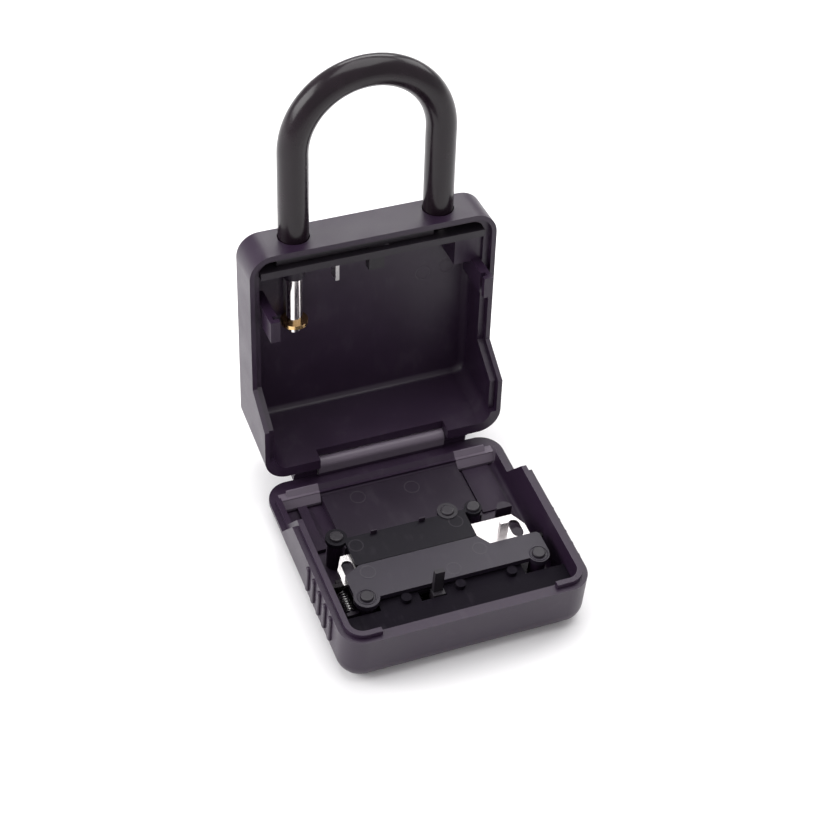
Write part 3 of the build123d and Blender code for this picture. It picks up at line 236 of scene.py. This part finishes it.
class PaintShop:
    """Builds one material's nodes."""

    def __init__(self, name: str) -> None:
        """Start an empty material.

        Args:
            name: The material's name.
        """
        self.material = bpy.data.materials.new(name)
        self.material.use_nodes = True
        self.tree = self.material.node_tree
        self.tree.nodes.clear()

    def node(self, kind: str, settings: dict[str, Any], values: dict[Any, Any],
             output: Union[int, str] = 0) -> Signal:
        """Add a node of any type.

        Args:
            kind: The node's type.
            settings: What is set on the node first.
            values: The values or links of its sockets, by name or number.
            output: The output that the result reads.

        Returns:
            The chosen output.
        """
        made = self.tree.nodes.new(kind)
        for name, value in settings.items():
            setattr(made, name, value)
        for name, value in values.items():
            if isinstance(value, Signal):
                self.tree.links.new(value.socket, made.inputs[name])
            else:
                made.inputs[name].default_value = value
        return Signal(self, made.outputs[output])

    def place(self, layout: Layout = Layout.LYING) -> Signal:
        """Where a surface point is, in metres.

        Args:
            layout: As the part lies, or turned closed about the hinge.

        Returns:
            The point's place.
        """
        point = self.node("ShaderNodeTexCoord", {}, {}, "Object")
        if layout is Layout.LYING:
            return point
        hinge = joint("housing_hinge")
        closing = math.radians(hinge["range_deg"][1])
        return self.node("ShaderNodeVectorRotate", {"rotation_type": "X_AXIS"},
                         {"Vector": point, "Center": Vector(hinge["pos_m"]), "Angle": closing})

    def axes(self, point: Signal) -> tuple[Signal, Signal, Signal]:
        """How far a point is along X, Y and Z, in metres."""
        across, back, up = (self.node("ShaderNodeSeparateXYZ", {}, {"Vector": point}, axis) for axis in "XYZ")
        return across, back, up

    def noise(self, point: Signal, size: float, layers: float, stretch: Place = EVEN_STRETCH) -> Signal:
        """Soft random variation.

        Args:
            point: Where it is read.
            size: The size of its spots in metres.
            layers: How many finer layers it has.
            stretch: How much denser it is along each axis.

        Returns:
            A value about 0.5.
        """
        spread = self.node("ShaderNodeMapping", {}, {"Vector": point, "Scale": stretch})
        return self.node("ShaderNodeTexNoise", {}, {"Vector": spread, "Scale": 1 / size, "Detail": layers},
                         "Fac")

    def ring(self, point: Signal, centre: Spot, radius: float, width: float) -> Signal:
        """A round line, as an ejector pin leaves in a moulding.

        Args:
            point: Where it is read.
            centre: Its middle in X and Y, in millimetres.
            radius: Its radius in millimetres.
            width: Its half width in millimetres.

        Returns:
            1 on the line and 0 off it.
        """
        away = [(part - middle * MM) ** 2.0 for part, middle in zip(self.axes(point), centre)]
        distance = (away[0] + away[1]) ** 0.5
        return (1 - abs(distance - radius * MM) / (width * MM)).clamped()

    def blend(self, factor: Level, first: Union[Colour, Signal], second: Union[Colour, Signal]) -> Signal:
        """Mix two colours.

        Args:
            factor: How much of the second shows.
            first: The first colour.
            second: The second colour.

        Returns:
            The mixed colour.
        """
        colours = [value if isinstance(value, Signal) else (*value, 1.0) for value in (first, second)]
        return self.node("ShaderNodeMix", {"data_type": "RGBA"},
                         {"Factor": factor, MIX_FIRST: colours[0], MIX_SECOND: colours[1]}, MIX_RESULT)

    def relief(self, height: Signal, depth: float) -> Signal:
        """Turn a height into a bumpy surface.

        Args:
            height: From 0, low, to 1, high.
            depth: The relief's depth in metres.

        Returns:
            The surface's direction.
        """
        return self.node("ShaderNodeBump", {}, {"Strength": 1.0, "Distance": depth, "Height": height})

    def finish(self, constants: dict[str, Any], **sockets: Any) -> bpy.types.Material:
        """Add the surface shader and the output.

        Args:
            constants: Values that are the same all over, by socket name.
            sockets: Values that change, by socket name with spaces as underscores.

        Returns:
            The finished material.
        """
        values = {name.replace("_", " "): value for name, value in sockets.items()}
        surface = self.node("ShaderNodeBsdfPrincipled", {}, {**constants, **values})
        output = self.tree.nodes.new("ShaderNodeOutputMaterial")
        self.tree.links.new(surface.socket, output.inputs["Surface"])
        return self.material


@dataclass(frozen=True)
class RubbedHinge:
    """Painted sheen on the cover: a paler tone along the hinge's knuckle and on the ledge's two slopes, where
    they catch the light.

    Each edge has its place and how wide it fades, in millimetres.
    """

    knuckle_front: Edge = (37.2, 0.2)
    knuckle_back: Edge = (41.4, 2.0)
    knuckle_bottom: Edge = (8.4, 0.4)
    knuckle_end: Edge = (22.0, 0.3)
    slope_front: Edge = (28.9, 0.3)
    slope_back: Edge = (33.9, 0.2)
    slope_bottom: Edge = (3.6, 0.3)
    slope_top: Edge = (9.0, 0.2)
    slope_inner: Edge = (23.2, 0.3)
    slope_outer: Edge = (36.6, 0.1)
    slope_share: float = 0.9

    def mask(self, shop: PaintShop, point: Signal) -> Signal:
        """Where the painted sheen shows.

        Args:
            shop: The material's maker.
            point: Where it is read.

        Returns:
            1 on the knuckle, less on the slopes and 0 elsewhere.
        """
        across, back, up = shop.axes(point)
        side = abs(across)
        knuckle = (back.past(self.knuckle_front) * back.short_of(self.knuckle_back)
                   * up.past(self.knuckle_bottom) * side.short_of(self.knuckle_end))
        slopes = (back.past(self.slope_front) * back.short_of(self.slope_back)
                  * (side.past(self.slope_inner) * side.short_of(self.slope_outer))
                  * (up.short_of(self.slope_top) * up.past(self.slope_bottom)))
        return knuckle.highest(slopes * self.slope_share)


@dataclass(frozen=True)
class Finish:
    """One finish, with its colour, sheen, relief, marks and wear; its sizes are in millimetres."""

    name: str
    colour: Colour
    worn: Colour
    roughness: float
    grain: Grain
    grain_size: float
    depth: float
    metallic: float = 0.0
    specular: float = 0.5
    coat: float = 0.0
    wear: float = 0.15
    patch_size: float = 9.0
    marks: tuple[tuple[Spot, float], ...] = ()
    layout: Layout = Layout.LYING
    tint: Colour = (0.5, 0.5, 0.5)
    shaded_beyond: float = 0.0
    # The tone of the painted sheen on the hinge knuckle and ledge; 0 for none
    knuckle_tone: float = 0.0

    def stretch(self) -> Place:
        """How the grain is drawn out: along X on a brushed sheet, evenly on the others."""
        return BRUSHED_STRETCH if self.grain is Grain.BRUSHED else EVEN_STRETCH

    def tinted(self) -> Colour:
        """The colour of the finish's slightly paler patches."""
        paler = [TINT_LOW + TINT_GAIN * tint for tint in self.tint]
        red, green, blue = (value * change for value, change in zip(self.colour, paler))
        return red, green, blue

    def mark_lines(self, shop: PaintShop, point: Signal) -> Signal:
        """The round lines of all the finish's marks.

        Args:
            shop: The material's maker.
            point: Where they are read.

        Returns:
            1 on a line and 0 off the lines.
        """
        lines = [shop.ring(point, centre, radius, MARK_HALF_WIDTH) for centre, radius in self.marks]
        return reduce(Signal.highest, lines)

    def painted(self, shop: PaintShop, point: Signal, patches: Signal, worn: Signal) -> Signal:
        """The finish's colour over the surface.

        Args:
            shop: The material's maker.
            point: Where it is read.
            patches: The soft variation of its shade.
            worn: Where the wear shows.

        Returns:
            The colour.
        """
        shade = shop.blend((patches - PATCH_START).clamped() * PATCH_SHARE, self.colour, self.tinted())
        colour = shop.blend(worn, shade, self.worn)
        if self.shaded_beyond:
            side = abs(shop.axes(point)[0])
            colour = shop.blend(side.past((self.shaded_beyond, SHADED_FADE)), colour, SHADED_TONE)
        # Painted sheen: a paler tone on the hinge knuckle and ledge, where they catch the light
        if self.knuckle_tone:
            red, green, blue = (self.knuckle_tone * level for level in KNUCKLE_SHEEN_TINT)
            colour = shop.blend(RubbedHinge().mask(shop, point), colour, (red, green, blue))
        return colour

    def material(self) -> bpy.types.Material:
        """Build the finish's material.

        Returns:
            The material.
        """
        shop = PaintShop(self.name)
        point = shop.place(self.layout)
        grain = shop.noise(point, self.grain_size * MM, GRAIN_LAYERS, self.stretch())
        patches = shop.noise(point, self.patch_size * MM, PATCH_LAYERS)
        scuffs = shop.noise(point, self.grain_size * SCUFF_SIZE * MM, SCUFF_LAYERS, SCUFF_STRETCH)
        worn = ((scuffs * patches - WEAR_START) * WEAR_GAIN).clamped() * self.wear
        height = grain * GRAIN_HEIGHT + scuffs * SCUFF_HEIGHT
        if self.marks:
            lines = self.mark_lines(shop, point)
            height = height - lines * MARK_DEPTH
            worn = worn.highest(lines * MARK_WEAR)
        roughness = (self.roughness + (patches - NOISE_MIDDLE) * PATCH_ROUGHNESS
                     + (grain - NOISE_MIDDLE) * GRAIN_ROUGHNESS + worn * WORN_ROUGHNESS).clamped()
        constants = {
            "Specular IOR Level": self.specular,
            "Metallic": self.metallic,
            "Coat Weight": self.coat,
            "Coat Roughness": COAT_ROUGHNESS,
        }
        colour = self.painted(shop, point, patches, worn)
        return shop.finish(constants, Base_Color=colour, Roughness=roughness,
                           Normal=shop.relief(height, self.depth * MM))


COAT = dict(colour=(0.0205, 0.0102, 0.0255), worn=(0.055, 0.046, 0.058), roughness=0.38,
            grain=Grain.ORANGE_PEEL, grain_size=0.5, depth=0.02, specular=0.42, tint=(0.62, 0.5, 0.64))
MOULDING = dict(colour=(0.0145, 0.0085, 0.0178), worn=(0.045, 0.039, 0.048), roughness=0.44,
                grain=Grain.MOULDED, grain_size=0.35, depth=0.012, specular=0.34, tint=(0.6, 0.5, 0.62))
STEEL = dict(worn=(0.34, 0.30, 0.26), grain=Grain.BRUSHED, grain_size=0.16, depth=0.006, metallic=1.0)


@dataclass
class Finishes:
    """The finishes of all the safe's pieces, each under the nodes that carry it."""

    made: dict[str, bpy.types.Material] = field(default_factory=dict)

    def table(self) -> dict[Finish, tuple[str, ...]]:
        """Which nodes carry which finish.

        Returns:
            The nodes of each finish.
        """
        dials = tuple(f"dial_{number}" for number in range(1, 5))
        rings = tuple(f"code_ring_{number}" for number in range(1, 5))
        return {
            # The cover's hinge knuckle and ledge get a painted sheen
            Finish("cover_coat", knuckle_tone=0.14, **COAT): ("front_cover",),
            Finish("housing_coat", layout=Layout.CLOSED,
                   marks=(((21.0, -11.5), 2.4), ((29.0, -12.5), 2.4)), **COAT): ("rear_housing",),
            Finish("guard_moulding", marks=(((-12.0, 26.6), 2.4), ((6.0, 25.5), 2.4)), **MOULDING):
                ("guard_panel",),
            Finish("plate_moulding", marks=(((-22.8, 0.2), 2.2), ((10.2, 0.1), 2.2)),
                   **{**MOULDING, "colour": (0.0075, 0.0062, 0.0098), "specular": 0.16}):
                ("mechanism_plate",),
            Finish("bar_moulding", marks=(((-23.1, -11.1), 2.3), ((13.0, -12.6), 2.2), ((2.4, -17.6), 2.2)),
                   **{**MOULDING, "colour": (0.019, 0.0145, 0.024), "roughness": 0.36, "specular": 0.42}):
                ("retainer_bar",),
            Finish("small_mouldings", **MOULDING):
                ("opener_slide", "guide_bush", "guide_posts", "floor_posts", "axle_blocks", "lever_rail",
                 "spring_seat", *dials),
            Finish("inner_coat", **{**COAT, "specular": 0.3, "roughness": 0.5}):
                ("floor_ribs", "plate_posts"),
            Finish("deck_moulding", **{**MOULDING, "colour": (0.0068, 0.0052, 0.0088), "specular": 0.05,
                                       "roughness": 0.55}): ("front_deck",),
            Finish("lever_moulding", **{**MOULDING, "colour": (0.022, 0.019, 0.024), "specular": 0.35}):
                ("reset_lever", "shackle_lock_slide"),
            Finish("lock_plate_moulding", **{**MOULDING, "colour": (0.022, 0.018, 0.024)}): ("lock_plate",),
            Finish("black_rivets", **{**MOULDING, "colour": (0.018, 0.015, 0.02), "roughness": 0.42,
                                      "specular": 0.4}): ("bar_rivets", "plate_rivets"),
            Finish("latch_zinc", colour=(0.77, 0.74, 0.74), roughness=0.3, wear=0.35, shaded_beyond=31.0,
                   **STEEL): ("latch_plate",),
            Finish("spring_steel", colour=(0.5, 0.49, 0.49), roughness=0.3, wear=0.2, **STEEL):
                ("dial_detent_spring", "latch_spring", "slide_leaf_spring", "dial_axle", "hinge_pin"),
            Finish("shackle_plating", colour=(0.86, 0.82, 0.81), roughness=0.14, wear=0.25,
                   **{**STEEL, "grain": Grain.POLISHED, "depth": 0.002}): ("shackle_core",),
            Finish("ring_brass", colour=(0.78, 0.52, 0.24), roughness=0.22, wear=0.3,
                   **{**STEEL, "grain": Grain.POLISHED, "depth": 0.003}): ("retaining_ring", *rings),
            Finish("shackle_vinyl", colour=(0.0085, 0.0045, 0.0075), worn=(0.03, 0.023, 0.029),
                   roughness=0.24, grain=Grain.POLISHED, grain_size=2.5, depth=0.02, specular=0.3, coat=0.1,
                   wear=0.1, tint=(0.9, 0.5, 0.8)): ("shackle_sleeve",),
        }

    def dress(self) -> None:
        """Give every CAD node its finish."""
        for finish, nodes in self.table().items():
            self.made[finish.name] = finish.material()
            for name in nodes:
                node = frame["nodes"][name]
                node.data.materials.clear()
                node.data.materials.append(self.made[finish.name])
        log.info("dressed %d nodes in %d finishes", len(frame["nodes"]), len(self.made))


def settle(piece: bpy.types.Object, name: str, body: str, material: bpy.types.Material) -> None:
    """Name a new piece, apply its place, dress it and let it ride on a body.

    Args:
        piece: The new mesh.
        name: Its name.
        body: The CAD body that it moves with.
        material: Its finish.
    """
    deselect_all()
    piece.select_set(True)
    bpy.context.view_layer.objects.active = piece
    bpy.ops.object.transform_apply(location=True, rotation=True, scale=True)
    piece.name = name
    piece.data.materials.clear()
    piece.data.materials.append(material)
    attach(piece, body)
    log.info("made %s with %d faces", name, len(piece.data.polygons))


def faces_up_or_down(polygon: bpy.types.MeshPolygon) -> bool:
    """Whether a face is level: its direction is nearer to Z than to the sides."""
    return abs(polygon.normal.z) > polygon.normal.xy.length


@dataclass
class DialNumbers:
    """The numbers 0 to 9 round each dial, in white paint; sizes in millimetres, angles in degrees."""

    dials: int = 4
    digits: int = 10
    height: float = 3.3
    height_share: float = 0.7
    proud: float = 0.03
    slices: int = 6
    first_angle: float = 270.0
    paint: Finish = Finish("number_paint", colour=(0.72, 0.71, 0.69), worn=(0.3, 0.29, 0.28), roughness=0.5,
                           grain=Grain.MOULDED, grain_size=0.3, depth=0.01, wear=0.4)

    def number(self, digit: int, centre: Vector, radius: float) -> bpy.types.Object:
        """Model one number and wrap it onto the dial.

        Args:
            digit: The number.
            centre: The dial's middle.
            radius: The dial's radius in metres.

        Returns:
            The number's mesh.
        """
        angle = math.radians(self.first_angle) + digit * TURN / self.digits
        deselect_all()
        bpy.ops.object.text_add(location=(0, 0, 0))
        text = bpy.context.object
        text.data.body = str(digit)
        text.data.size = self.height * MM / self.height_share
        text.data.align_x = "CENTER"
        text.data.align_y = "CENTER"
        bpy.ops.object.convert(target="MESH")
        bpy.ops.object.mode_set(mode="EDIT")
        for step in range(1, self.slices):
            place = (step / self.slices - 0.5) * self.height * MM
            bpy.ops.mesh.select_all(action="SELECT")
            bpy.ops.mesh.bisect(plane_co=(0, place, 0), plane_no=(0, 1, 0))
        bpy.ops.object.mode_set(mode="OBJECT")
        mesh = text.data
        low = min(vertex.co.y for vertex in mesh.vertices)
        high = max(vertex.co.y for vertex in mesh.vertices)
        middle = (low + high) / 2
        around = radius + self.proud * MM
        for vertex in mesh.vertices:
            swing = (vertex.co.y - middle) / around
            turned = angle - swing
            vertex.co = Vector((
                centre.x + vertex.co.x,
                centre.y + around * math.cos(turned),
                centre.z + around * math.sin(turned),
            ))
        return text

    def build(self) -> None:
        """Model the numbers of every dial."""
        material = self.paint.material()
        for index in range(1, self.dials + 1):
            low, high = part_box(f"dial_{index}")
            centre = (low + high) / 2
            radius = (high.y - low.y) / 2
            numbers = [self.number(digit, centre, radius) for digit in range(self.digits)]
            deselect_all()
            for piece in numbers:
                piece.select_set(True)
            bpy.context.view_layer.objects.active = numbers[0]
            bpy.ops.object.join()
            settle(bpy.context.object, f"dial_{index}_numbers", f"dial_{index}_body",
                   material)


@dataclass
class RivetSeats:
    """A toothed washer and pressed rings round the black plates' rivets, in millimetres."""

    washer_centre: Spot = (9.1, 4.7)
    washer_radius: float = 2.9
    washer_hole: float = 2.15
    washer_height: float = 0.3
    washer_corners: int = 24
    tooth: float = 0.35
    ring_centres: tuple[Spot, ...] = ((-26.7, -20.0), (29.5, -20.0))
    ring_radius: float = 2.8
    ring_wire: float = 0.22
    ring_steps: int = 48
    wire_steps: int = 12

    def outer_tooth(self, polygon: bpy.types.MeshPolygon) -> bool:
        """Whether a face is one of every second face on the washer's outer side.

        Args:
            polygon: The face, measured from the washer's middle.

        Returns:
            True where a tooth grows.
        """
        middle = (self.washer_radius + self.washer_hole) / 2
        outer = polygon.center.xy.length > middle * MM
        turn = round(math.atan2(polygon.center.y, polygon.center.x) / TURN * self.washer_corners - 0.5)
        return outer and not faces_up_or_down(polygon) and turn % 2 == 0

    def washer(self, material: bpy.types.Material) -> None:
        """Model the toothed washer.

        Args:
            material: Its finish.
        """
        seat = (*(place * MM for place in self.washer_centre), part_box("mechanism_plate")[1].z)
        deselect_all()
        bpy.ops.mesh.primitive_circle_add(vertices=self.washer_corners, radius=self.washer_radius * MM,
                                          location=seat)
        piece = bpy.context.object
        bpy.ops.object.mode_set(mode="EDIT")
        bpy.ops.mesh.select_all(action="SELECT")
        share = self.washer_hole / self.washer_radius
        bpy.ops.mesh.extrude_edges_move()
        bpy.ops.transform.resize(value=(share, share, 1.0))
        bpy.ops.mesh.select_all(action="SELECT")
        bpy.ops.mesh.extrude_region_move(TRANSFORM_OT_translate={"value": (0, 0, self.washer_height * MM)})
        bpy.ops.object.mode_set(mode="OBJECT")
        for polygon in piece.data.polygons:
            polygon.select = self.outer_tooth(polygon)
        bpy.ops.object.mode_set(mode="EDIT")
        bpy.ops.mesh.select_mode(type="FACE")
        grow = (self.washer_radius + self.tooth) / self.washer_radius
        bpy.ops.mesh.extrude_region_move()
        bpy.ops.transform.resize(value=(grow, grow, 1.0), center_override=seat)
        bpy.ops.mesh.select_all(action="SELECT")
        bpy.ops.mesh.normals_make_consistent(inside=False)
        bpy.ops.object.mode_set(mode="OBJECT")
        settle(piece, "toothed_washer", "cover", material)

    def pressed_rings(self, material: bpy.types.Material) -> None:
        """Model the raised ring round each of the bar's rivets.

        Args:
            material: Their finish.
        """
        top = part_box("retainer_bar")[1].z
        for number, (x, y) in enumerate(self.ring_centres, 1):
            deselect_all()
            bpy.ops.mesh.primitive_torus_add(
                location=(x * MM, y * MM, top),
                major_radius=self.ring_radius * MM, minor_radius=self.ring_wire * MM,
                major_segments=self.ring_steps, minor_segments=self.wire_steps)
            piece = bpy.context.object
            bpy.ops.object.shade_smooth()
            settle(piece, f"bar_pressed_ring_{number}", "cover", material)

    def build(self, finishes: Finishes) -> None:
        """Model all the seats.

        Args:
            finishes: The safe's finishes.
        """
        self.washer(finishes.made["black_rivets"])
        self.pressed_rings(finishes.made["bar_moulding"])


@dataclass
class EdgeClips:
    """The small moulded clips that stand on the middle plate's rear edge, in millimetres."""

    places: tuple[Spot, ...] = ((-16.0, 3.2), (0.0, 3.4))
    width: float = 2.6
    depth: float = 1.4
    height: float = 1.7
    top_share: Place = (0.8, 0.5, 1.0)
    rounding: float = 0.2
    rounding_steps: int = 3
    smooth_below: float = 40.0

    def build(self, finishes: Finishes) -> None:
        """Model both clips.

        Args:
            finishes: The safe's finishes.
        """
        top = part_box("mechanism_plate")[1].z
        for number, (x, y) in enumerate(self.places, 1):
            deselect_all()
            bpy.ops.mesh.primitive_cube_add(size=1.0, location=(x * MM, y * MM, top + self.height * MM / 2),
                                            scale=(self.width * MM, self.depth * MM, self.height * MM))
            piece = bpy.context.object
            bpy.ops.object.transform_apply(location=True, rotation=True, scale=True)
            for polygon in piece.data.polygons:
                polygon.select = faces_up_or_down(polygon) and polygon.normal.z > 0
            bpy.ops.object.mode_set(mode="EDIT")
            bpy.ops.mesh.select_mode(type="FACE")
            bpy.ops.transform.resize(value=self.top_share)
            bpy.ops.object.mode_set(mode="OBJECT")
            rounding = piece.modifiers.new("rounding", "BEVEL")
            rounding.width = self.rounding * MM
            rounding.segments = self.rounding_steps
            bpy.ops.object.modifier_apply(modifier="rounding")
            bpy.ops.object.shade_smooth_by_angle(angle=math.radians(self.smooth_below))
            settle(piece, f"edge_clip_{number}", "cover", finishes.made["small_mouldings"])


class LatchSpring:
    """The latch's spring, given a mesh of its own."""

    def build(self) -> None:
        """Give the spring its own copy of its mesh, and log how far the latch's throw would shorten it."""
        low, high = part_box("latch_spring")
        length = high.y - low.y
        throw = joint("latch_throw")["range_m"][1]
        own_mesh(frame["nodes"]["latch_spring"], "latch_throw", axis=(0, 1, 0), anchor=tuple(low),
                  keep=(length - throw) / length)
        log.info("the latch spring shortens from %.1f to %.1f mm", length / MM, (length - throw) / MM)


@dataclass(frozen=True)
class Softbox:
    """One soft light that faces the safe: its place and size in metres and its power in watts."""

    name: str
    place: Place
    size: Spot
    power: float


@dataclass
class Studio:
    """The pale floor, the soft light and the photograph's camera, in metres and degrees."""

    floor_size: float = 6.0
    floor_tones: tuple[Colour, Colour] = ((0.93, 0.925, 0.93), (0.955, 0.95, 0.955))
    floor_patches: float = 0.4
    floor_roughness: float = 0.9
    floor_specular: float = 0.1
    softboxes: tuple[Softbox, ...] = (
        Softbox("overhead_softbox", (0.15, 0.25, 1.1), (1.0, 1.0), 9.0),
        Softbox("left_softbox", (-1.0, 0.25, 0.65), (0.9, 0.7), 11.0),
        Softbox("right_softbox", (1.0, 0.5, 0.6), (0.6, 0.6), 3.0),
        Softbox("back_softbox", (0.34, 1.08, 0.68), (0.9, 0.3), 4.0),
    )
    sky: float = 0.55
    sky_colour: Colour = (1.0, 0.985, 1.0)
    azimuth: float = -25.16
    elevation: float = 45.76
    distance: float = 0.64202
    lens: float = 90.27
    sensor: float = 36.0
    nearest: float = 0.01
    roll: float = 5.79
    target: Place = (0.00543, 0.03153, 0.03556)

    def floor(self) -> None:
        """Lay the pale floor."""
        deselect_all()
        bpy.ops.mesh.primitive_plane_add(size=self.floor_size, location=(0, 0, 0))
        plane = bpy.context.object
        plane.name = "floor"
        shop = PaintShop("pale_floor")
        colour = shop.blend(shop.noise(shop.place(), self.floor_patches, PATCH_LAYERS), *self.floor_tones)
        sheen = {"Roughness": self.floor_roughness, "Specular IOR Level": self.floor_specular}
        plane.data.materials.append(shop.finish(sheen, Base_Color=colour))

    def hang(self, box: Softbox) -> None:
        """Hang one soft light that faces the safe.

        Args:
            box: The light.
        """
        lamp = bpy.data.lights.new(box.name, "AREA")
        lamp.shape = "RECTANGLE"
        lamp.size, lamp.size_y = box.size
        lamp.energy = box.power
        hung = bpy.data.objects.new(box.name, lamp)
        hung.location = box.place
        towards = Vector(self.target) - Vector(box.place)
        hung.rotation_euler = towards.to_track_quat("-Z", "Y").to_euler()
        bpy.context.scene.collection.objects.link(hung)

    def lights(self) -> None:
        """Hang the soft lights and set the sky."""
        for box in self.softboxes:
            self.hang(box)
        world = bpy.data.worlds.new("studio_sky")
        world.use_nodes = True
        backdrop = world.node_tree.nodes["Background"]
        backdrop.inputs["Color"].default_value = (*self.sky_colour, 1.0)
        backdrop.inputs["Strength"].default_value = self.sky
        bpy.context.scene.world = world

    def camera(self) -> None:
        """Set up the photograph's camera."""
        azimuth = math.radians(self.azimuth)
        elevation = math.radians(self.elevation)
        roll = math.radians(self.roll)
        back = Vector((
            math.sin(azimuth) * math.cos(elevation),
            -math.cos(azimuth) * math.cos(elevation),
            math.sin(elevation),
        ))
        level = (-back).cross(Vector((0, 0, 1))).normalized()
        upright = level.cross(-back)
        right = level * math.cos(roll) + upright * math.sin(roll)
        up = upright * math.cos(roll) - level * math.sin(roll)
        data = bpy.data.cameras.new("photo_camera")
        data.lens = self.lens
        data.sensor_width = self.sensor
        data.clip_start = self.nearest
        camera = bpy.data.objects.new("photo_camera", data)
        turn = Matrix((right, up, back)).transposed().to_4x4()
        camera.matrix_world = Matrix.Translation(Vector(self.target) + back * self.distance) @ turn
        bpy.context.scene.collection.objects.link(camera)
        bpy.context.scene.camera = camera

    def build(self) -> None:
        """Set up the whole studio."""
        self.floor()
        self.lights()
        self.camera()
        bpy.context.scene.view_settings.view_transform = "Standard"
        log.info("studio ready")


def main() -> None:
    """Build the looks round the CAD part."""
    logging.basicConfig(level=logging.INFO, format="%(name)s: %(message)s")
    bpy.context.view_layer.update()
    finishes = Finishes()
    finishes.dress()
    DialNumbers().build()
    RivetSeats().build(finishes)
    EdgeClips().build(finishes)
    LatchSpring().build()
    Studio().build()


if __name__ == "__main__":
    main()
